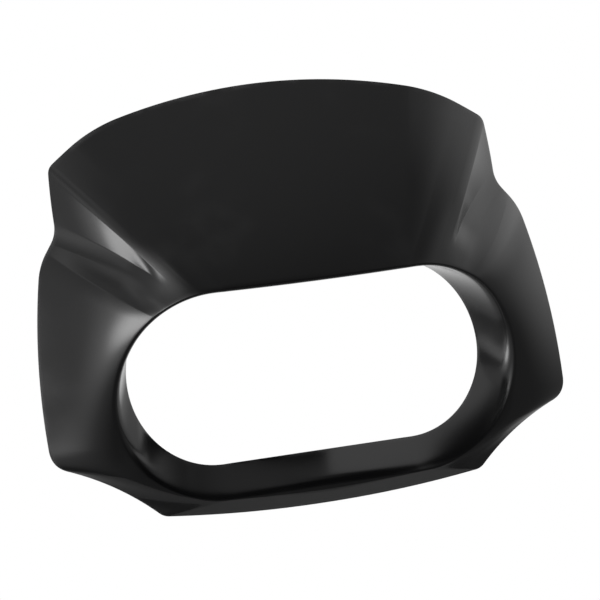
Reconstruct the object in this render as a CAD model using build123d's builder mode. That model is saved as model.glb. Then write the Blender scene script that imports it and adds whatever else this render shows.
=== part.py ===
from build123d import *
import os
from math import cos, radians, sin, sqrt, tan

# Headlight cowl: a one-piece moulded shell with a wide slot for a pair of round lamps.
#
# The cowl stands as it does on the machine: +Z is up, the slot faces -Y and X runs across it.
# The slot's axis is the Y axis. The trimmed edge and the back of the slot's flange both lie in
# one flat back plane, which leans back and crosses the slot's axis at the origin.
#
# The skin is a set of smooth patches between two closed lines, the trimmed edge and the rim.
# A fold runs from each corner of the trimmed edge to the rim, where it fades out.

# Shell
wall = 2.5
rim_rounding = 3.2
skin_strips = 6
rim_strips = 4
back_lean = 18.9

# Lamp slot where its flange ends in the back plane, measured square to the slot's axis
slot_height = 93.6
slot_width = 202.7

# Rim of the slot, at the front
rim_height = 113.9
rim_width = 226.7
rim_drop = 5.2
rim_depth = 34.9
rim_face_radius = 572.0

# Corners of the trimmed edge: across from the middle, and up along the back plane from the axis
lip_corner_across = 92.3
lip_corner_up = -72.9
cheek_bottom_across = 149.1
cheek_bottom_up = -38.4
cheek_top_across = 139.2
cheek_top_up = 70.3
notch_across = 127.8
notch_up = 86.0
visor_tip_across = 126.6
visor_tip_up = 122.1
visor_bend_across = 99.2
visor_bend_up = 140.7

# How far each corner is cut back along its two edges to round it
lip_corner_rounding = 3.0
cheek_bottom_rounding = 9.0
cheek_top_rounding = 8.0
notch_rounding = 6.0
visor_tip_rounding = 3.5
visor_bend_rounding = 14.0

# How far each stretch of the trimmed edge bows outwards from a straight line
lip_bow = 5.9
lower_bow = -3.8
cheek_bow = 3.9
shelf_bow = 0.0
side_bow = 0.5
visor_side_bow = 0.4
visor_bow = 15.1

# Where each corner's fold runs out on the rim: degrees up round the slot's end from level,
# and past 90 on along the straight, whose middle is at 180
lip_corner_fold = -92.0
cheek_bottom_fold = -34.0
cheek_top_fold = 53.0
notch_fold = 70.4
visor_tip_fold = 77.6
visor_bend_fold = 101.0

# Degrees of the rim, each way, over which a fold's rounding spreads
fold_spread = 1.5
cheek_bottom_spread = 12.0
notch_spread = 3.8

# How far the skin's middle swells out between the trimmed edge and the rim, along each fold: forwards
# for a crown, towards the middle for a pinch and down for a sag
cheek_bottom_crown = 3.0
cheek_top_crown = 5.7
cheek_top_sag = 1.4
notch_crown = 3.9
notch_pinch = 5.9
visor_tip_crown = 4.2
visor_tip_pinch = 0.9
visor_crown = 4.4

# The back plane, with its x across the cowl and its y up the lean
back_plane = Plane(
    origin=(0, 0, 0),
    x_dir=(1, 0, 0),
    z_dir=(0, -cos(radians(back_lean)), sin(radians(back_lean))),
)

# The right half's corners, from the lip up to the visor, and the stretches that follow them
corners = [
    Vector(lip_corner_across, lip_corner_up),
    Vector(cheek_bottom_across, cheek_bottom_up),
    Vector(cheek_top_across, cheek_top_up),
    Vector(notch_across, notch_up),
    Vector(visor_tip_across, visor_tip_up),
    Vector(visor_bend_across, visor_bend_up),
]
roundings = [
    lip_corner_rounding,
    cheek_bottom_rounding,
    cheek_top_rounding,
    notch_rounding,
    visor_tip_rounding,
    visor_bend_rounding,
]
side_bows = [lower_bow, cheek_bow, shelf_bow, side_bow, visor_side_bow]
folds = [
    (lip_corner_fold, fold_spread),
    (cheek_bottom_fold, cheek_bottom_spread),
    (cheek_top_fold, fold_spread),
    (notch_fold, notch_spread),
    (visor_tip_fold, fold_spread),
    (visor_bend_fold, fold_spread),
]
swells = [
    Vector(0, 0, 0),
    Vector(0, -cheek_bottom_crown, 0),
    Vector(0, -cheek_top_crown, -cheek_top_sag),
    Vector(-notch_pinch, -notch_crown, 0),
    Vector(-visor_tip_pinch, -visor_tip_crown, 0),
    Vector(0, -visor_crown, 0),
]


def flipped(point):
    """The point's mirror image on the other half."""
    return Vector(-point.X, point.Y, point.Z)


def whole_ring(right, lip, visor):
    """A closed line as cubic curves: the lip, the right half, the visor and the left half."""
    left = [[flipped(p) for p in reversed(curve)] for curve in reversed(right)]
    return [lip, *right, visor, *left]


def bowed(start, end, bow):
    """A shallow arc from start to end that stands off its chord by bow, to the right of travel."""
    chord = end - start
    lift = Vector(chord.Y, -chord.X).normalized() * (bow * 4 / 3)
    return [start, start + chord / 3 + lift, end - chord / 3 + lift, end]


def blend(curve, *parameters):
    """A part's control point for the given parameters, by repeated blending of neighbours."""
    points = curve
    for t in parameters:
        points = [p * (1 - t) + q * t for p, q in zip(points, points[1:])]
    return points[0]


def cut_back(curve, from_start, from_end):
    """The curve without a length at each end."""
    length = (curve[3] - curve[0]).length
    a = from_start / length
    b = 1 - from_end / length
    return [blend(curve, a, a, a), blend(curve, a, a, b), blend(curve, a, b, b), blend(curve, b, b, b)]


def rounded(before, corner, after):
    """The curve that rounds a corner between the ends of two stretches."""
    return [before, before + (corner - before) * 2 / 3, after + (corner - after) * 2 / 3, after]


def edge_ring(points, bottom_bow):
    """The trimmed edge through the given corners, in the back plane."""
    lip = cut_back(bowed(flipped(points[0]), points[0], bottom_bow), roundings[0], roundings[0])
    visor = cut_back(bowed(points[-1], flipped(points[-1]), visor_bow), roundings[-1], roundings[-1])
    sides = [
        cut_back(bowed(start, end, bow), start_rounding, end_rounding)
        for start, end, bow, start_rounding, end_rounding in zip(
            points, points[1:], side_bows, roundings, roundings[1:]
        )
    ]
    stretches = [lip, *sides, visor]
    right = []
    for before, corner, after in zip(stretches, points, stretches[1:]):
        right += [rounded(before[3], corner, after[0]), after]
    ring = whole_ring(right[:-1], lip, visor)
    return [[back_plane.from_local_coords(p) for p in curve] for curve in ring]


def slot_point(angle, width, height, drop, depth):
    """A slot outline's point at an angle round its end, or past 90 along its straight."""
    radius = height / 2
    centre = width / 2 - radius
    turn = radians(max(-90, min(90, angle)))
    along_straight = max(0, abs(angle) - 90) / 90
    across = centre * (1 - along_straight) + radius * cos(turn)
    up = radius * sin(turn) - drop
    return Vector(across, depth(across, up), up)


def slot_ring(width, height, drop, depth):
    """A slot outline, with a curve for each stretch and each corner of the trimmed edge."""

    def arc(start, end):
        nudge = 0.01
        reach = (end - start) / nudge / 3
        angles = [start, start + nudge, end - nudge, end]
        a, a_next, b_last, b = [slot_point(angle, width, height, drop, depth) for angle in angles]
        return [a, a + (a_next - a) * reach, b + (b_last - b) * reach, b]

    stops = []
    for angle, spread in folds:
        stops += [angle - spread, angle + spread]
    right = [arc(start, end) for start, end in zip(stops, stops[1:])]
    lip = across_middle(right[0][0], right[0][1])
    visor = across_middle(right[-1][3], right[-1][2])[::-1]
    return whole_ring(right, lip, visor)


def across_middle(end, beyond):
    """A curve from a point's mirror image to the point, heading on towards the one beyond."""
    heading = (beyond - end) / (beyond - end).X
    knee = end - heading * (end.X * 2 / 3)
    return [flipped(end), flipped(knee), knee, end]


def rim_depth_at(across, up):
    """The rim follows an upright cylinder."""
    return rim_face_radius - sqrt(rim_face_radius**2 - across**2) - rim_depth


def back_depth_at(across, up):
    """The back plane's depth."""
    return up * tan(radians(back_lean))


def even_steps(start, end):
    """Four even steps from one vector to another, for the four points of a curve."""
    return [start + (end - start) * i / 3 for i in range(4)]


def middle_ring(outer, inner):
    """Control curves midway between two rings, pressed in or swelled out at each fold."""
    shifts = []
    for swell in swells:
        shifts += [swell, swell]
    starts = [flipped(shifts[0]), *shifts, *[flipped(shift) for shift in reversed(shifts)]]
    ends = [*starts[1:], starts[0]]
    ring = []
    for low, high, start, end in zip(outer, inner, starts, ends):
        steps = even_steps(start, end)
        ring.append([(p + q) / 2 + step * 2 for p, q, step in zip(low, high, steps)])
    return ring


def moved_towards(ring, goal, distance):
    """A ring moved by a distance towards another one."""
    return [[p + (q - p).normalized() * distance for p, q in zip(*curves)] for curves in zip(ring, goal)]


def squared(direction, heading):
    """The part of a direction that is square to a heading, at unit length."""
    return (direction - heading * direction.dot(heading)).normalized()


def meeting_ring(rim, skin, throat):
    """Where the inner faces of the skin and the flange meet, a wall away from both."""
    starts = []
    for line, skin_line, throat_line in zip(rim, skin, throat):
        heading = (line[1] - line[0]).normalized()
        a = squared(skin_line[0] - line[0], heading)
        b = squared(throat_line[0] - line[0], heading)
        starts.append((a + b) * (wall / a.cross(b).length))
    ends = [*starts[1:], starts[0]]
    return [
        [p + shift for p, shift in zip(line, even_steps(start, end))]
        for line, start, end in zip(rim, starts, ends)
    ]


def edge_width(corner, angle, swell, along):
    """The trimmed edge's width beside a stretch: the wall, cut at the skin's slant to the back plane."""
    foot = back_plane.from_local_coords(corner)
    top = slot_point(angle, rim_width, rim_height, rim_drop, rim_depth_at)
    rise = back_plane.to_local_coords((foot + top) / 2 + swell * 2) - corner
    return wall * (rise - along * rise.dot(along)).length / rise.Z


def inset_corners():
    """The corners of the skin's inner face in the back plane, from the two edges that meet at each."""
    path = [flipped(corners[0]), *corners, flipped(corners[-1])]
    moved = []
    for before, corner, after, fold, swell in zip(path, path[1:], path[2:], folds, swells):
        arriving = (corner - before).normalized()
        leaving = (after - corner).normalized()
        arriving_width = edge_width(corner, fold[0], swell, arriving)
        leaving_width = edge_width(corner, fold[0], swell, leaving)
        turn = arriving.X * leaving.Y - arriving.Y * leaving.X
        moved.append(corner + (leaving * arriving_width - arriving * leaving_width) / turn)
    return moved


def flange_ring(throat, rim):
    """The outside of the flange in the back plane, a wall away from the throat's face."""
    wider = slot_ring(slot_width + 2 * wall, slot_height + 2 * wall, 0, back_depth_at)
    ring = []
    for curves in zip(throat, wider, rim):
        outside = []
        for end, further, tip in zip(*curves):
            slant = (further - end).cross((tip - end).normalized()).length
            outside.append(end + (further - end) * (wall / slant))
        ring.append(outside)
    return ring


def patches(*rings):
    """One smooth patch for each stretch, shaped by the given rings of control curves."""
    return [Face.make_bezier_surface([list(curve) for curve in curves]) for curves in zip(*rings)]


def strips(count, *rings):
    """Patches across three rings, cut into even strips from the first ring to the last."""
    made = []
    for strip in range(count):
        low = strip / count
        high = (strip + 1) / count
        cut_rings = [
            [[blend(points, *shares) for points in zip(*curves)] for curves in zip(*rings)]
            for shares in ((low, low), (low, high), (high, high))
        ]
        made += patches(*cut_rings)
    return made


def closed_line(ring):
    """A ring as one closed line."""
    with BuildLine() as line:
        for curve in ring:
            Bezier(*curve)
    return line.wire()


os.makedirs("parts", exist_ok=True)

# Outer rings: the trimmed edge, the rim with its rounding, and the throat's end in the back plane
edge = edge_ring(corners, lip_bow)
rim = slot_ring(rim_width, rim_height, rim_drop, rim_depth_at)
throat = slot_ring(slot_width, slot_height, 0, back_depth_at)
swell_line = middle_ring(edge, rim)
rim_outside = moved_towards(rim, swell_line, rim_rounding)
rim_inside = moved_towards(rim, throat, rim_rounding)

# Inner rings, one wall behind the outer faces
inner_corners = inset_corners()
lip_middle_width = edge_width(Vector(0, lip_corner_up - lip_bow), -180, swells[0], Vector(1, 0))
inner_lip_bow = lip_bow + inner_corners[0].Y - lip_corner_up - lip_middle_width
inner_edge = edge_ring(inner_corners, inner_lip_bow)
inner_rim = meeting_ring(rim, swell_line, throat)
inner_swell_line = middle_ring(inner_edge, inner_rim)
flange_outside = flange_ring(throat, rim)

with BuildPart() as cowl:
    skin = strips(skin_strips, edge, swell_line, rim_outside)
    rounded_rim = strips(rim_strips, rim_outside, rim, rim_inside)
    flange = patches(rim_inside, throat) + patches(flange_outside, inner_rim)
    inner_skin = strips(skin_strips, inner_rim, inner_swell_line, inner_edge)
    trimmed_edge = Face(closed_line(edge), [closed_line(inner_edge)])
    flange_end = Face(closed_line(flange_outside), [closed_line(throat)])
    add(Solid(Shell([*skin, *rounded_rim, *flange, *inner_skin, trimmed_edge, flange_end])))

cowl.part.label = "cowl"
export_step(cowl.part, "parts/cowl.step")
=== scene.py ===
"""Headlight cowl in its finish: black semi-gloss moulded plastic above a pale studio floor."""
import math

import bpy
import numpy as np
from mathutils import Matrix


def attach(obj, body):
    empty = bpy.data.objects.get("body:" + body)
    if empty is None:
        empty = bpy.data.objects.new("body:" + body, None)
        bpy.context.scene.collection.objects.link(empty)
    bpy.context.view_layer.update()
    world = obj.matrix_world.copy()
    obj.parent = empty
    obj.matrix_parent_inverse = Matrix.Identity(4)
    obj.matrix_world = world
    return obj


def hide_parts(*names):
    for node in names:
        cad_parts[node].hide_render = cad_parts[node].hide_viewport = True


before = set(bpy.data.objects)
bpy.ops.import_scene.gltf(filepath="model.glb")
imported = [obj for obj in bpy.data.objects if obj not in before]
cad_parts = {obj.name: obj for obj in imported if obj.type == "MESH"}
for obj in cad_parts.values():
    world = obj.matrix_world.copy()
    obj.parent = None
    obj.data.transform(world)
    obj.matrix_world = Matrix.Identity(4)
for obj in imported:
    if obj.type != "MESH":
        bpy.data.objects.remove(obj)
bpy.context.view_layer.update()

MM = 0.001

# The cowl's sizes in millimetres, as in its solid
WALL = 2.5
RIM_ROUNDING = 3.2
BACK_LEAN = math.radians(18.9)
SLOT_WIDTH, SLOT_HEIGHT = 202.7, 93.6
RIM_WIDTH, RIM_HEIGHT = 226.7, 113.9
RIM_DROP, RIM_DEPTH, RIM_FACE_RADIUS = 5.2, 34.9, 572.0

# Corners of the trimmed edge on the right half, from the lip up to the visor: across, up the lean
CORNERS = np.array([
    (92.3, -72.9),
    (149.1, -38.4),
    (139.2, 70.3),
    (127.8, 86.0),
    (126.6, 122.1),
    (99.2, 140.7),
])
CORNER_ROUNDING = np.array([3.0, 9.0, 8.0, 6.0, 3.5, 14.0])
LIP_BOW, VISOR_BOW = 5.9, 15.1
SIDE_BOWS = np.array([-3.8, 3.9, 0.0, 0.5, 0.4])

# Where each corner's fold runs out on the rim, in degrees, and how wide it spreads each way there
FOLD = np.array([-92.0, -34.0, 53.0, 67.2, 77.6, 101.0])
FOLD_SPREAD = np.array([7.0, 12.0, 1.5, 3.9, 3.4, 3.0])
LIP_MIDDLE_ANGLE = -180.0

# How far the skin's middle swells out along each fold: across, depth, up
SWELL = np.array([
    (0.0, 0.0, 0.0),
    (0.0, -3.0, 0.0),
    (0.0, -5.7, -1.4),
    (-5.9, -3.9, 0.0),
    (-0.9, -4.2, 0.0),
    (0.0, -4.4, 0.0),
])

# Finer than the solid, in millimetres: eased cut edges and inner corner, and a rounder rim at throat and lip
EDGE_EASE, CORNER_EASE = 0.5, 1.2
THROAT_ROUNDING, LIP_ROUNDING = 7.0, 5.2

# Places on the ring, counted in its curves from the lip: where the lip's rounding fades, and where the
# softening of the valley and of the ridge comes and goes
LIP_FADE = (1.0, 3.2)
VALLEY_COMES, VALLEY_GOES = (6.3, 6.9), (7.4, 8.0)
RIDGE_COMES, RIDGE_GOES = (6.0, 7.0), (9.8, 10.8)

# Shares of the way from the trimmed edge to the rim over which they soften, and how far the softening
# reaches: in curves of the ring for the valley, in millimetres along the rim for the ridge
VALLEY_RISE, RIDGE_RISE = (0.1, 0.5), (0.5, 0.85)
VALLEY_SOFTENING, RIDGE_SOFTENING = 0.35, 7.0

# The grid: curves in a ring, points along each curve, and rows across each face
RING_CURVES, CURVE_POINTS = 24, 30
SKIN_ROWS, RIM_ROWS, THROAT_ROWS = 44, 10, 8
FLANGE_ROWS, INNER_SKIN_ROWS = 6, 20
EASE_ROWS, CUT_ROWS = 4, 1

MIRROR = np.array([-1.0, 1.0, 1.0])
THIRDS = np.array([0.0, 1 / 3, 2 / 3, 1.0])[:, None]
NUDGE = 0.01


def unit(vectors):
    """Vectors divided by their lengths."""
    return vectors / np.linalg.norm(vectors, axis=-1, keepdims=True)


def blossom(points, *shares):
    """Neighbouring control points blended by each share in turn, until one point is left."""
    for share in shares:
        points = points[:, :-1] * (1 - share) + points[:, 1:] * share
    return points[:, 0]


def whole_ring(right, lip, visor):
    """A closed line of cubic curves: the lip, the right half, the visor, and the right half mirrored."""
    return np.concatenate([lip[None], right, visor[None], (right * MIRROR[: right.shape[-1]])[::-1, ::-1]])


def on_back_plane(points):
    """Across and up the lean to space: x is across, y and z are up times the lean's sine and cosine."""
    across, up = points[..., 0], points[..., 1]
    return np.stack([across, up * math.sin(BACK_LEAN), up * math.cos(BACK_LEAN)], -1)


def height_off_back_plane(points):
    """How far points stand in front of the back plane: z times the lean's sine less y times its cosine."""
    return points[..., 2] * math.sin(BACK_LEAN) - points[..., 1] * math.cos(BACK_LEAN)


def corner_path(corners):
    """The right half's corners, with the first one's mirror image before them and the last one's after."""
    flip = MIRROR[:2]
    return np.concatenate([[corners[0] * flip], corners, [corners[-1] * flip]])


def edge_ring(corners, bottom_bow):
    """The trimmed edge. Each stretch is a cubic arc that stands off its chord by its bow, cut back at both
    ends by the corners' roundings, and each corner is a cubic drawn two thirds of the way to its point."""
    path = corner_path(corners)
    start, end = path[:-1], path[1:]
    chord = end - start
    length = np.linalg.norm(chord, axis=1)[:, None]
    bow = np.concatenate([[bottom_bow], SIDE_BOWS, [VISOR_BOW]])[:, None]
    lift = np.stack([chord[:, 1], -chord[:, 0]], 1) / length * bow * 4 / 3
    stretch = np.stack([start, start + chord / 3 + lift, end - chord / 3 + lift, end], 1)
    rounding = np.concatenate([CORNER_ROUNDING[:1], CORNER_ROUNDING, CORNER_ROUNDING[-1:]])[:, None]
    a = (rounding[:-1] / length)[:, None]
    b = (1 - rounding[1:] / length)[:, None]
    cuts = (a, a, a), (a, a, b), (a, b, b), (b, b, b)
    stretch = np.stack([blossom(stretch, *shares) for shares in cuts], 1)
    before, after = stretch[:-1, 3], stretch[1:, 0]
    arriving, leaving = before + (corners - before) * 2 / 3, after + (corners - after) * 2 / 3
    right = np.empty((2 * len(corners) - 1, 4, 2))
    right[0::2] = np.stack([before, arriving, leaving, after], 1)
    right[1::2] = stretch[1:-1]
    return on_back_plane(whole_ring(right, stretch[0], stretch[-1]))


def slot_points(angle, width, height, drop, depth):
    """Points of a slot's outline: a half circle round its end, and past 90 degrees along its straight."""
    radius = height / 2
    centre = width / 2 - radius
    turn = np.radians(np.clip(angle, -90, 90))
    across = centre * (1 - np.maximum(0, np.abs(angle) - 90) / 90) + radius * np.cos(turn)
    up = radius * np.sin(turn) - drop
    return np.stack([across, depth(across, up), up], -1)


def rim_depth(across, up):
    """The rim lies on an upright cylinder: y is the radius less the root of radius squared less x squared."""
    return RIM_FACE_RADIUS - np.sqrt(RIM_FACE_RADIUS**2 - across**2) - RIM_DEPTH


def back_depth(across, up):
    """The back plane: y is z times the lean's tangent."""
    return up * math.tan(BACK_LEAN)


def across_middle(end, beyond):
    """A cubic from a point's mirror image to the point, its inner controls two thirds of the way along the
    heading towards the point beyond."""
    heading = (beyond - end) / (beyond - end)[0]
    knee = end - heading * end[0] * 2 / 3
    return np.stack([end * MIRROR, knee * MIRROR, knee, end])


def slot_ring(width, height, drop, depth):
    """A slot's outline cut at every fold: each cubic leaves its ends along the outline, by a third of its
    span."""
    stops = (FOLD[:, None] + FOLD_SPREAD[:, None] * (-1, 1)).ravel()
    start, end = stops[:-1], stops[1:]
    reach = ((end - start) / NUDGE / 3)[:, None]
    a, a_next, b_last, b = [
        slot_points(angle, width, height, drop, depth) for angle in (start, start + NUDGE, end - NUDGE, end)
    ]
    right = np.stack([a, a + (a_next - a) * reach, b + (b_last - b) * reach, b], 1)
    lip = across_middle(right[0, 0], right[0, 1])
    visor = across_middle(right[-1, 3], right[-1, 2])[::-1]
    return whole_ring(right, lip, visor)


def middle_ring(outer, inner):
    """Control curves halfway between two rings plus twice the swell, which runs evenly from fold to fold."""
    twice = np.repeat(SWELL, 2, axis=0)
    knots = np.concatenate([twice[:1] * MIRROR, twice, (twice * MIRROR)[::-1]])
    start, end = knots[:-1, None], knots[1:, None]
    return (outer + inner) / 2 + 2 * (start + (end - start) * THIRDS)


def moved_towards(ring, goal, distance):
    """A ring moved by a distance towards another."""
    return ring + unit(goal - ring) * distance


def meeting_ring(rim, skin, throat):
    """Where the inner faces meet, a wall behind both: the two faces' directions square to the rim, added,
    times the wall over the sine of the angle between them."""
    tip = rim[:, 0]
    heading = unit(rim[:, 1] - tip)
    faces = skin[:, 0] - tip, throat[:, 0] - tip
    square = [unit(way - heading * (way * heading).sum(1, keepdims=True)) for way in faces]
    sine = np.linalg.norm(np.cross(*square), axis=1, keepdims=True)
    start = (sum(square) * WALL / sine)[:, None]
    return rim + start + (np.roll(start, -1, axis=0) - start) * THIRDS


def edge_width(corner, angle, swell, along):
    """The trimmed edge's width: the wall times the skin's slope length over its height off the back plane."""
    foot = on_back_plane(corner)
    top = slot_points(angle, RIM_WIDTH, RIM_HEIGHT, RIM_DROP, rim_depth)
    rise = (top - foot) / 2 + 2 * swell
    direction = on_back_plane(along)
    slope = rise - direction * (rise * direction).sum(-1, keepdims=True)
    return WALL * np.linalg.norm(slope, axis=-1) / height_off_back_plane(rise)


def inset_corners():
    """Corners of the inner face: where two lines meet that run beside the edges, each at its own width."""
    path = corner_path(CORNERS)
    way = unit(path[1:] - path[:-1])
    arriving, leaving = way[:-1], way[1:]
    arriving_width = edge_width(CORNERS, FOLD, SWELL, arriving)[:, None]
    leaving_width = edge_width(CORNERS, FOLD, SWELL, leaving)[:, None]
    turn = (arriving[:, 0] * leaving[:, 1] - arriving[:, 1] * leaving[:, 0])[:, None]
    return CORNERS + (leaving * arriving_width - arriving * leaving_width) / turn


def flange_ring(throat, rim):
    """The flange's outside at its end: the throat's outline a wall wider, reached along the back plane."""
    wider = slot_ring(SLOT_WIDTH + 2 * WALL, SLOT_HEIGHT + 2 * WALL, 0, back_depth)
    slant = np.linalg.norm(np.cross(wider - throat, unit(rim - throat)), axis=-1, keepdims=True)
    return throat + (wider - throat) * WALL / slant


def bernstein(degree, share):
    """Weights of a curve's control points: binomial times share and its rest, raised to their powers."""
    order = np.arange(degree + 1)
    binomial = np.array([math.comb(degree, i) for i in order])
    return binomial * share[..., None] ** order * (1 - share[..., None]) ** (degree - order)


def steps(count):
    """Even shares from 0, without 1, where the next curve or strip starts."""
    return np.arange(count) / count


def sampled(ring):
    """A ring's points: each cubic curve at the same even shares, without the next one's first point."""
    return np.einsum("ui,kid->kud", bernstein(3, steps(CURVE_POINTS)), ring).reshape(-1, 3)


def strip(rings, count):
    """Rows of points between sampled rings, which are the control points of a curve across the strip."""
    return np.einsum("vi,ikd->vkd", bernstein(len(rings) - 1, steps(count)), np.stack(rings))


def smooth_rise(value, low, high):
    """0 below low, 1 above high, and share squared times 3 less twice the share between them."""
    share = np.clip((value - low) / (high - low), 0, 1)
    return share**2 * (3 - 2 * share)


def rise_and_fall(value, comes, goes):
    """A smooth rise over the first range, times 1 less the smooth rise over the second."""
    return smooth_rise(value, *comes) * (1 - smooth_rise(value, *goes))


def ring_place():
    """Each sample's place on the ring, counted in curves from the lip and alike on both sides."""
    place = np.arange(RING_CURVES * CURVE_POINTS) / CURVE_POINTS
    return np.minimum(place, RING_CURVES + 1 - place)


def along_smoothed(rows, width):
    """Rows smoothed along their closed length by a bell curve, whose width is counted in curves of the ring:
    each wave is damped by e to the power of minus twice the square of pi times width times wave number."""
    count = rows.shape[1]
    waves = np.fft.rfftfreq(count)[:, None]
    damping = np.exp(-2 * (math.pi * width * CURVE_POINTS * waves) ** 2)
    return np.fft.irfft(np.fft.rfft(rows, axis=1) * damping, count, axis=1)


def rim_smoothed(rows, rim, width):
    """Rows smoothed along the rim: each point becomes the mean of its row, weighted by the points' spacing on
    the rim times e to the power of minus half the squared way along the rim over the width."""
    step = np.linalg.norm(np.roll(rim, -1, axis=0) - rim, axis=1)
    way = np.cumsum(step) - step
    gap = np.abs(way[:, None] - way)
    gap = np.minimum(gap, step.sum() - gap)
    weight = np.exp(-((gap / width) ** 2) / 2) * (step + np.roll(step, 1))
    weight = weight / weight.sum(axis=1, keepdims=True)
    return np.einsum("ij,vjd->vid", weight, rows)


def softened_folds(rows, shares, rim):
    """Rows of the skin with folds that soften: the valley from near the edge on, by a blend with the smoothed
    rows, and the ridge near the rim, by a blend of the rows' offset from the rim with its smoothed form."""
    place, shares = ring_place(), shares[:, None]
    valley = rise_and_fall(place, VALLEY_COMES, VALLEY_GOES) * smooth_rise(shares, *VALLEY_RISE)
    ridge = rise_and_fall(place, RIDGE_COMES, RIDGE_GOES) * smooth_rise(shares, *RIDGE_RISE)
    rows = rows + (along_smoothed(rows, VALLEY_SOFTENING) - rows) * valley[..., None]
    offset = rows - rim
    return rows + (rim_smoothed(offset, rim, RIDGE_SOFTENING) - offset) * ridge[..., None]


def closed_shell(name, rows):
    """A mesh on a grid that closes both ways: along each row, and from the last row to the first."""
    count, around = rows.shape[:2]
    index = np.arange(count * around).reshape(count, around)
    up = np.roll(index, -1, axis=0)
    quads = np.stack([index, np.roll(index, -1, axis=1), np.roll(up, -1, axis=1), up], -1).reshape(-1, 4)
    mesh = bpy.data.meshes.new(name)
    mesh.vertices.add(count * around)
    mesh.vertices.foreach_set("co", (rows * MM).ravel())
    mesh.loops.add(quads.size)
    mesh.loops.foreach_set("vertex_index", quads.ravel())
    mesh.polygons.add(len(quads))
    mesh.polygons.foreach_set("loop_start", np.arange(0, quads.size, 4))
    mesh.polygons.foreach_set("use_smooth", np.ones(len(quads), bool))
    mesh.update(calc_edges=True)
    mesh.validate()
    piece = bpy.data.objects.new(name, mesh)
    bpy.context.scene.collection.objects.link(piece)
    return piece


def point_values(piece, name, values):
    """Gives each point of a piece one number, which its material reads by name."""
    piece.data.attributes.new(name, "FLOAT", "POINT").data.foreach_set("value", values.ravel())


def stage_sheet(name, corners, material):
    """A flat sheet of the studio from its four corners in metres."""
    mesh = bpy.data.meshes.new(name)
    mesh.from_pydata(corners, [], [(0, 1, 2, 3)])
    mesh.materials.append(material)
    piece = bpy.data.objects.new(name, mesh)
    bpy.context.scene.collection.objects.link(piece)


def level_corners(side, front, back, height):
    """Corners of a level sheet that reaches as far to the left as to the right."""
    return [(-side, front, height), (side, front, height), (side, back, height), (-side, back, height)]


class Value:
    """A shader socket in arithmetic: each operator adds one Math node to the socket's tree."""

    def __init__(self, tree, socket=None):
        self.tree, self.socket = tree, socket

    def node(self, kind, settings, sockets):
        """Adds a node, gives it its settings and then its sockets' values or links, and returns its first
        output."""
        made = self.tree.nodes.new(kind)
        for name, setting in settings.items():
            setattr(made, name, setting)
        for key, value in sockets.items():
            if isinstance(value, Value):
                self.tree.links.new(value.socket, made.inputs[key])
            else:
                made.inputs[key].default_value = value
        return Value(self.tree, next(iter(made.outputs), None))

    def __getitem__(self, name):
        """Another output of the same node."""
        return Value(self.tree, self.socket.node.outputs[name])

    def maths(self, operation, *operands):
        """A Math node on the operands."""
        return self.node("ShaderNodeMath", {"operation": operation}, dict(enumerate(operands)))

    def __add__(self, other):
        return self.maths("ADD", self, other)

    def __rsub__(self, other):
        return self.maths("SUBTRACT", other, self)

    def __mul__(self, other):
        return self.maths("MULTIPLY", self, other)

    def highest(self, other):
        """The higher of two values."""
        return self.maths("MAXIMUM", self, other)

    def smooth_step(self, low, high):
        """0 below low, 1 above high, and a smooth rise between them."""
        settings = {"interpolation_type": "SMOOTHSTEP"}
        return self.node("ShaderNodeMapRange", settings, {"Value": self, "From Min": low, "From Max": high})

    __radd__ = __add__
    __rmul__ = __mul__


def fresh_tree(owner):
    """An empty node tree on a material or a world."""
    owner.use_nodes = True
    owner.node_tree.nodes.clear()
    return Value(owner.node_tree)


def place_parts(nodes):
    """Across, depth and up of the point that is shaded."""
    spot = nodes.node("ShaderNodeTexCoord", {}, {})["Object"]
    parts = nodes.node("ShaderNodeSeparateXYZ", {}, {"Vector": spot})
    return parts["X"], parts["Y"], parts["Z"]


# The corners of the shell's section, as rings of curves
edge = edge_ring(CORNERS, LIP_BOW)
rim = slot_ring(RIM_WIDTH, RIM_HEIGHT, RIM_DROP, rim_depth)
throat = slot_ring(SLOT_WIDTH, SLOT_HEIGHT, 0, back_depth)
swell_line = middle_ring(edge, rim)
inner_corners = inset_corners()
lip_middle = np.array([0, CORNERS[0, 1] - LIP_BOW])
lip_middle_width = edge_width(lip_middle, np.array(LIP_MIDDLE_ANGLE), SWELL[0], np.array([1.0, 0.0]))
inner_edge = edge_ring(inner_corners, LIP_BOW + inner_corners[0, 1] - CORNERS[0, 1] - lip_middle_width)
inner_rim = meeting_ring(rim, swell_line, throat)
inner_swell_line = middle_ring(inner_edge, inner_rim)
flange_outside = flange_ring(throat, rim)
edge, swell_line, rim, throat, flange_outside, inner_rim, inner_swell_line, inner_edge = [
    sampled(ring)
    for ring in (edge, swell_line, rim, throat, flange_outside, inner_rim, inner_swell_line, inner_edge)
]

# Where each corner's rounding starts on the faces beside it
edge_front = moved_towards(edge, swell_line, EDGE_EASE)
edge_back = moved_towards(edge, inner_edge, EDGE_EASE)
lip_share = 1 - smooth_rise(ring_place(), *LIP_FADE)
rim_reach = (RIM_ROUNDING + (LIP_ROUNDING - RIM_ROUNDING) * lip_share)[:, None]
rim_outside = moved_towards(rim, swell_line, rim_reach)
rim_inside = moved_towards(rim, throat, THROAT_ROUNDING)
skin = softened_folds(strip([edge_front, swell_line, rim_outside], SKIN_ROWS), steps(SKIN_ROWS), rim)
rim_outside = softened_folds(rim_outside[None], np.ones(1), rim)[0]
throat_front = moved_towards(throat, rim, EDGE_EASE)
throat_back = moved_towards(throat, flange_outside, EDGE_EASE)
flange_back = moved_towards(flange_outside, throat, EDGE_EASE)
flange_front = moved_towards(flange_outside, inner_rim, EDGE_EASE)
inner_rim_flange = moved_towards(inner_rim, flange_outside, CORNER_EASE)
inner_rim_skin = moved_towards(inner_rim, inner_swell_line, CORNER_EASE)
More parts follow.
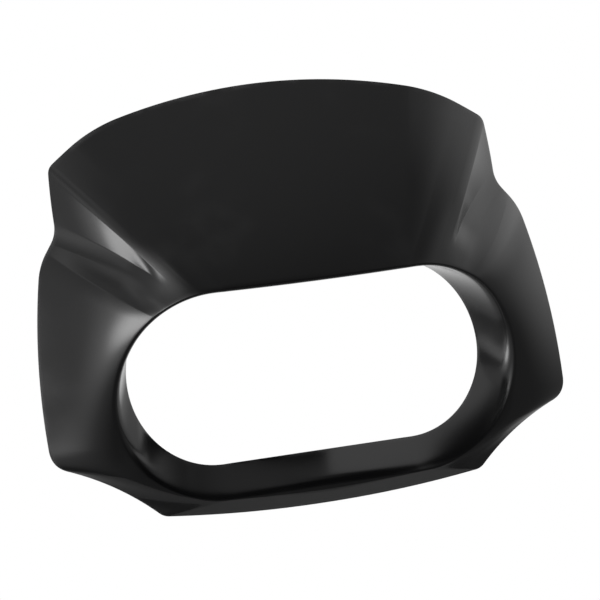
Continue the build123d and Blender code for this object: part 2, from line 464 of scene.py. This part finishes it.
inner_edge_front = moved_towards(inner_edge, inner_swell_line, EDGE_EASE)
inner_edge_back = moved_towards(inner_edge, edge, EDGE_EASE)

# The shell: round its section from the trimmed edge over the skin, rim and throat, and back along the inside
outer_rows = np.concatenate([
    strip([edge_back, edge, edge_front], EASE_ROWS),
    skin,
    strip([rim_outside, rim, rim_inside], RIM_ROWS),
    strip([rim_inside, throat_front], THROAT_ROWS),
    strip([throat_front, throat, throat_back], EASE_ROWS),
    strip([throat_back, flange_back], CUT_ROWS),
    strip([flange_back, flange_outside, flange_front], EASE_ROWS),
])
inner_rows = np.concatenate([
    strip([flange_front, inner_rim_flange], FLANGE_ROWS),
    strip([inner_rim_flange, inner_rim, inner_rim_skin], EASE_ROWS),
    strip([inner_rim_skin, inner_swell_line, inner_edge_front], INNER_SKIN_ROWS),
    strip([inner_edge_front, inner_edge, inner_edge_back], EASE_ROWS),
    strip([inner_edge_back, edge_back], CUT_ROWS),
])
rows = np.concatenate([outer_rows, inner_rows])
cowl = closed_shell("cowl_shell", rows)
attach(cowl, "root")
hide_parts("cowl")

# What the finish follows on the shell: its unseen inside, and how near its two cut edges are in millimetres
WEAR_REACH = 1.4
inside = np.zeros(rows.shape[:2])
inside[len(outer_rows):] = 1
cut_distance = np.minimum(np.linalg.norm(rows - edge, axis=-1), np.linalg.norm(rows - throat, axis=-1))
point_values(cowl, "inside", inside)
point_values(cowl, "cut_edge", np.exp(-(cut_distance / WEAR_REACH) ** 2))

# Black plastic: clouded gloss, dust in patches, a duller inside, worn cut edges, moulding waves and a fine
# grain. Sizes and heights are in metres.
PLASTIC_BLACK = (0.0033, 0.0033, 0.0035, 1)
DUST_GREY = (0.011, 0.011, 0.0113, 1)
WORN_GREY = (0.03, 0.03, 0.031, 1)
INSIDE_BLACK = (0.016, 0.016, 0.0165, 1)
GLOSS, CLOUD_DULLING, GRAIN_DULLING = 0.12, 0.08, 0.03
INSIDE_DULLING, DUST_DULLING, WEAR_DULLING = 0.24, 0.06, 0.22
CLOUD_SIZE, SMEAR_SIZE, WAVE_SIZE, GRAIN_SIZE = 0.06, 0.02, 0.03, 0.0011
CLOUD_DETAIL, SMEAR_DETAIL, WAVE_DETAIL, GRAIN_DETAIL = 2, 3, 0, 1
WAVE_HEIGHT, GRAIN_HEIGHT = 0.00004, 0.0000035
DUST_CLOUDS, DUST_SMEARS, WEAR_SMEARS = (0.48, 0.72), (0.3, 0.7), (0.42, 0.62)

plastic = bpy.data.materials.new("black_plastic")
plastic_nodes = fresh_tree(plastic)
plastic_spot = plastic_nodes.node("ShaderNodeTexCoord", {}, {})["Object"]


def mottle(size, detail):
    """A cloudy pattern on the plastic, whose patches are about as large as the size."""
    sockets = {"Vector": plastic_spot, "Scale": 1 / size, "Detail": detail}
    return plastic_nodes.node("ShaderNodeTexNoise", {}, sockets)


def shell_value(name):
    """One of the shell's point values."""
    return plastic_nodes.node("ShaderNodeAttribute", {"attribute_name": name}, {})["Fac"]


def tinted(share, bare, full):
    """One colour turned into another by a share."""
    return plastic_nodes.node("ShaderNodeMix", {"data_type": "RGBA"}, {0: share, 6: bare, 7: full})[2]


clouds, smears = mottle(CLOUD_SIZE, CLOUD_DETAIL), mottle(SMEAR_SIZE, SMEAR_DETAIL)
waves, grain = mottle(WAVE_SIZE, WAVE_DETAIL), mottle(GRAIN_SIZE, GRAIN_DETAIL)
dust = clouds.smooth_step(*DUST_CLOUDS) * smears.smooth_step(*DUST_SMEARS)
hidden = shell_value("inside")
wear = shell_value("cut_edge") * smears.smooth_step(*WEAR_SMEARS)
roughness = GLOSS + clouds * CLOUD_DULLING + grain * GRAIN_DULLING + dust * DUST_DULLING
roughness = roughness + wear * WEAR_DULLING + hidden * INSIDE_DULLING
colour = tinted(wear, tinted(dust, tinted(hidden, PLASTIC_BLACK, INSIDE_BLACK), DUST_GREY), WORN_GREY)
relief = waves * WAVE_HEIGHT + grain * GRAIN_HEIGHT
slope = plastic_nodes.node("ShaderNodeBump", {}, {"Strength": 1.0, "Distance": 1.0, "Height": relief})
finish = plastic_nodes.node("ShaderNodeBsdfPrincipled", {}, {
    "Base Color": colour,
    "Roughness": roughness,
    "Normal": slope,
})
plastic_nodes.node("ShaderNodeOutputMaterial", {}, {"Surface": finish})
cowl.data.materials.append(plastic)

# Camera: looks from the left and above, turned a little about its line of sight
CAMERA_YAW, CAMERA_PITCH, CAMERA_ROLL = math.radians(18.2726), math.radians(13.7636), math.radians(3.1431)
CAMERA_SHIFT = np.array([2.227, -33.152, 1789.3])
CAMERA_FOCUS = 3262.5
FRAME_SIZE = 600
SENSOR = 36.0

right = np.array([math.cos(CAMERA_YAW), -math.sin(CAMERA_YAW), 0])
ahead = np.array([
    math.sin(CAMERA_YAW) * math.cos(CAMERA_PITCH),
    math.cos(CAMERA_YAW) * math.cos(CAMERA_PITCH),
    -math.sin(CAMERA_PITCH),
])
up = np.cross(right, ahead)
axes = np.stack([
    right * math.cos(CAMERA_ROLL) - up * math.sin(CAMERA_ROLL),
    right * math.sin(CAMERA_ROLL) + up * math.cos(CAMERA_ROLL),
    ahead,
])
camera_place = -axes.T @ CAMERA_SHIFT * MM
camera_data = bpy.data.cameras.new("camera")
camera_data.sensor_width = SENSOR
camera_data.lens = SENSOR * CAMERA_FOCUS / FRAME_SIZE
camera = bpy.data.objects.new("camera", camera_data)
camera.matrix_world = Matrix([
    [axes[0][i], axes[1][i], -axes[2][i], camera_place[i]] for i in range(3)
] + [[0, 0, 0, 1]])
bpy.context.scene.collection.objects.link(camera)
bpy.context.scene.camera = camera

# Studio: pale walls on the left, right and high behind, white paper low behind, a dim ceiling that is lighter
# on the left, and a dim front. Each pair is the part of a direction over which a light or a loss comes in.
LEFT_WALL_LIGHT, LEFT_WALL_ACROSS, LEFT_WALL_UP = 0.74, (-0.3, 1.0), (-0.9, -0.2)
LEFT_WALL_LOSS, LEFT_WALL_LOSS_DEPTH = 0.45, (-0.1, 0.4)
RIGHT_WALL_LIGHT, RIGHT_WALL_ACROSS = 1.15, (0.0, 0.35)
RIGHT_WALL_DEPTH, RIGHT_WALL_UP = (-1.0, 0.4), (-0.46, 0.55)
RIGHT_WALL_LOSS, RIGHT_WALL_LOSS_UP = 0.9, (0.55, 1.0)
PAPER_ACROSS, PAPER_DEPTH, PAPER_END_UP = (-1.2, 0.1), (0.3, 0.6), (-0.35, -0.1)
CEILING_LIGHT, CEILING_UP = 0.38, (0.6, 1.0)
CEILING_LEFT_LIGHT, CEILING_LEFT_ACROSS = 0.75, (0.15, 0.35)
FRONT_LIGHT, FRONT_LOW_LIGHT, FRONT_END_UP = 0.02, 0.13, (-0.1, 0.3)
BACK_WALL_LIGHT, BACK_WALL_DEPTH, BACK_WALL_UP = 1.3, (0.2, 0.9), (0.3, 0.8)

# Soft lights: turn to the right of the front, rise, inner and outer angle, all in degrees, and strength
SOFT_LIGHTS = [
    (-36, 23, 4, 17, 7.5),
    (-36, 23, 4, 32, 1.4),
    (-84, -11, 6.5, 9.5, 6.4),
    (-84, -11, 6.5, 22, 1.4),
]

world = bpy.data.worlds.new("studio")
bpy.context.scene.world = world
room_nodes = fresh_tree(world)
direction = room_nodes.node("ShaderNodeTexCoord", {}, {})["Generated"]


def glow(turn, rise, inner, outer, strength):
    """A soft round light in the room: full within the inner angle, none past the outer."""
    turn, rise, inner, outer = np.radians([turn, rise, inner, outer])
    middle = (math.sin(turn) * math.cos(rise), -math.cos(turn) * math.cos(rise), math.sin(rise))
    near = room_nodes.node("ShaderNodeVectorMath", {"operation": "DOT_PRODUCT"}, {0: direction, 1: middle})
    return strength * near["Value"].smooth_step(math.cos(outer), math.cos(inner))


ways = room_nodes.node("ShaderNodeSeparateXYZ", {}, {"Vector": direction})
x, y, z = ways["X"], ways["Y"], ways["Z"]
left_wall = LEFT_WALL_LIGHT * (0 - x).smooth_step(*LEFT_WALL_ACROSS) * z.smooth_step(*LEFT_WALL_UP)
left_wall = left_wall * (1 - LEFT_WALL_LOSS * y.smooth_step(*LEFT_WALL_LOSS_DEPTH))
right_wall = RIGHT_WALL_LIGHT * x.smooth_step(*RIGHT_WALL_ACROSS) * y.smooth_step(*RIGHT_WALL_DEPTH)
right_wall = right_wall * z.smooth_step(*RIGHT_WALL_UP)
right_wall = right_wall * (1 - RIGHT_WALL_LOSS * z.smooth_step(*RIGHT_WALL_LOSS_UP))
paper_behind = x.smooth_step(*PAPER_ACROSS) * y.smooth_step(*PAPER_DEPTH) * (1 - z.smooth_step(*PAPER_END_UP))
ceiling_left = CEILING_LEFT_LIGHT * (0 - x).smooth_step(*CEILING_LEFT_ACROSS)
ceiling = (CEILING_LIGHT + ceiling_left) * z.smooth_step(*CEILING_UP)
dim_front = FRONT_LIGHT + FRONT_LOW_LIGHT * (1 - z.smooth_step(*FRONT_END_UP))
back_wall = BACK_WALL_LIGHT * y.smooth_step(*BACK_WALL_DEPTH) * z.smooth_step(*BACK_WALL_UP)
rays = room_nodes.node("ShaderNodeLightPath", {}, {})
seen = rays["Is Camera Ray"].highest(rays["Is Transmission Ray"])
room = left_wall.highest(right_wall).highest(ceiling).highest(dim_front).highest(back_wall)
room = room.highest(paper_behind * rays["Is Glossy Ray"])
for light in SOFT_LIGHTS:
    room = room + glow(*light)
studio = room_nodes.node("ShaderNodeBackground", {}, {
    "Color": (1, 1, 1, 1),
    "Strength": seen + (1 - seen) * room,
})
room_nodes.node("ShaderNodeOutputWorld", {}, {"Surface": studio})

# Floor: a pale sheet below the cowl that is white to the camera. Places from here on are in metres.
FLOOR_SIDE, FLOOR_FRONT, FLOOR_BACK, FLOOR_HEIGHT = 0.25, -0.2, 0.3, -0.3
FLOOR_COLOUR, FLOOR_GLOW = (0.6, 0.6, 0.6, 1), 0.8

pale_paper = bpy.data.materials.new("pale_paper")
paper_nodes = fresh_tree(pale_paper)
paper_seen = paper_nodes.node("ShaderNodeLightPath", {}, {})["Is Camera Ray"]
paper_matt = paper_nodes.node("ShaderNodeBsdfDiffuse", {}, {"Color": FLOOR_COLOUR})
paper_white = paper_nodes.node("ShaderNodeEmission", {}, {"Strength": paper_seen * FLOOR_GLOW})
paper_finish = paper_nodes.node("ShaderNodeAddShader", {}, {0: paper_matt, 1: paper_white})
paper_nodes.node("ShaderNodeOutputMaterial", {}, {"Surface": paper_finish})
stage_sheet("pale_floor", level_corners(FLOOR_SIDE, FLOOR_FRONT, FLOOR_BACK, FLOOR_HEIGHT), pale_paper)

# Card on the right: dim below, light in its middle, fading at its top and in front, hidden from the camera
CARD_PLACE, CARD_FRONT, CARD_BACK, CARD_LOW, CARD_HIGH = 0.25, -0.25, 0.35, -0.2, 0.4
CARD_LIGHT = 0.44
CARD_LOWER_LIGHT, CARD_LOWER_RISE = 0.2, (-0.03, 0.06)
CARD_UPPER_LIGHT, CARD_UPPER_RISE = 0.65, (0.055, 0.095)
CARD_FRONT_SHARE, CARD_FRONT_DEPTH = 0.45, (-0.1, 0.03)
CARD_TOP_LOSS, CARD_TOP_RISE = 0.66, (0.18, 0.36)

soft_card = bpy.data.materials.new("soft_card")
card_nodes = fresh_tree(soft_card)
_, card_depth, card_rise = place_parts(card_nodes)
card_light = CARD_LIGHT + CARD_LOWER_LIGHT * card_rise.smooth_step(*CARD_LOWER_RISE)
card_light = card_light + CARD_UPPER_LIGHT * card_rise.smooth_step(*CARD_UPPER_RISE)
card_back_share = (1 - CARD_FRONT_SHARE) * card_depth.smooth_step(*CARD_FRONT_DEPTH)
card_light = card_light * (CARD_FRONT_SHARE + card_back_share)
card_light = card_light * (1 - CARD_TOP_LOSS * card_rise.smooth_step(*CARD_TOP_RISE))
card_glow = card_nodes.node("ShaderNodeEmission", {}, {"Color": card_light})
card_clear = card_nodes.node("ShaderNodeBsdfTransparent", {}, {})
card_seen = card_nodes.node("ShaderNodeLightPath", {}, {})["Is Camera Ray"]
card_finish = card_nodes.node("ShaderNodeMixShader", {}, {0: card_seen, 1: card_glow, 2: card_clear})
card_nodes.node("ShaderNodeOutputMaterial", {}, {"Surface": card_finish})
stage_sheet("side_card", [
    (CARD_PLACE, CARD_FRONT, CARD_LOW),
    (CARD_PLACE, CARD_FRONT, CARD_HIGH),
    (CARD_PLACE, CARD_BACK, CARD_HIGH),
    (CARD_PLACE, CARD_BACK, CARD_LOW),
], soft_card)

# Card before the slot, painted reflection and painted shade: light on the right and dark in front, clear
# elsewhere, mirrored by what lies below it; it lights nothing and only paints what the throat's wall and rim
# reflect
SLOT_CARD_SIDE, SLOT_CARD_FRONT, SLOT_CARD_BACK, SLOT_CARD_HEIGHT = 0.1, -0.2, -0.01, 0.02
SLOT_CARD_LIGHT, SLOT_CARD_SLANT = 1.05, 0.2
LIGHT_PART_DEPTH, LIGHT_PART_ACROSS = (-0.04, -0.03), (0.0255, 0.0275)
DARK_PART_ACROSS = (-0.02, 0.06)
DARK_FRONT_DEPTH, DARK_FRONT_ACROSS = (0.05, 0.07), (-0.1, -0.07)

painted_reflection_card = bpy.data.materials.new("painted_reflection_card")
slot_card_nodes = fresh_tree(painted_reflection_card)
slot_card_across, slot_card_depth, _ = place_parts(slot_card_nodes)
# Painted reflection: the light part, mirrored as a lighter patch on the right of the throat's bottom wall
light_part = (slot_card_depth + SLOT_CARD_SLANT * slot_card_across).smooth_step(*LIGHT_PART_DEPTH)
light_cover = light_part * slot_card_across.smooth_step(*LIGHT_PART_ACROSS)
dark_front = (0 - slot_card_depth).smooth_step(*DARK_FRONT_DEPTH)
dark_front = dark_front * slot_card_across.smooth_step(*DARK_FRONT_ACROSS)
# Painted shade: the dark part, mirrored as a dark band along the rim at the bottom of the slot
painted_shade_cover = (1 - light_part) * slot_card_across.smooth_step(*DARK_PART_ACROSS).highest(dark_front)
from_below = slot_card_nodes.node("ShaderNodeNewGeometry", {}, {})["Backfacing"]
mirrored = slot_card_nodes.node("ShaderNodeLightPath", {}, {})["Is Glossy Ray"] * from_below
slot_card_glow = slot_card_nodes.node("ShaderNodeEmission", {}, {"Color": SLOT_CARD_LIGHT * light_part})
slot_card_clear = slot_card_nodes.node("ShaderNodeBsdfTransparent", {}, {})
slot_card_finish = slot_card_nodes.node("ShaderNodeMixShader", {}, {
    0: mirrored * (light_cover + painted_shade_cover),
    1: slot_card_clear,
    2: slot_card_glow,
})
slot_card_nodes.node("ShaderNodeOutputMaterial", {}, {"Surface": slot_card_finish})
slot_card_corners = level_corners(SLOT_CARD_SIDE, SLOT_CARD_FRONT, SLOT_CARD_BACK, SLOT_CARD_HEIGHT)
stage_sheet("painted_reflection_card", slot_card_corners, painted_reflection_card)

bpy.context.scene.view_settings.view_transform = "Standard"
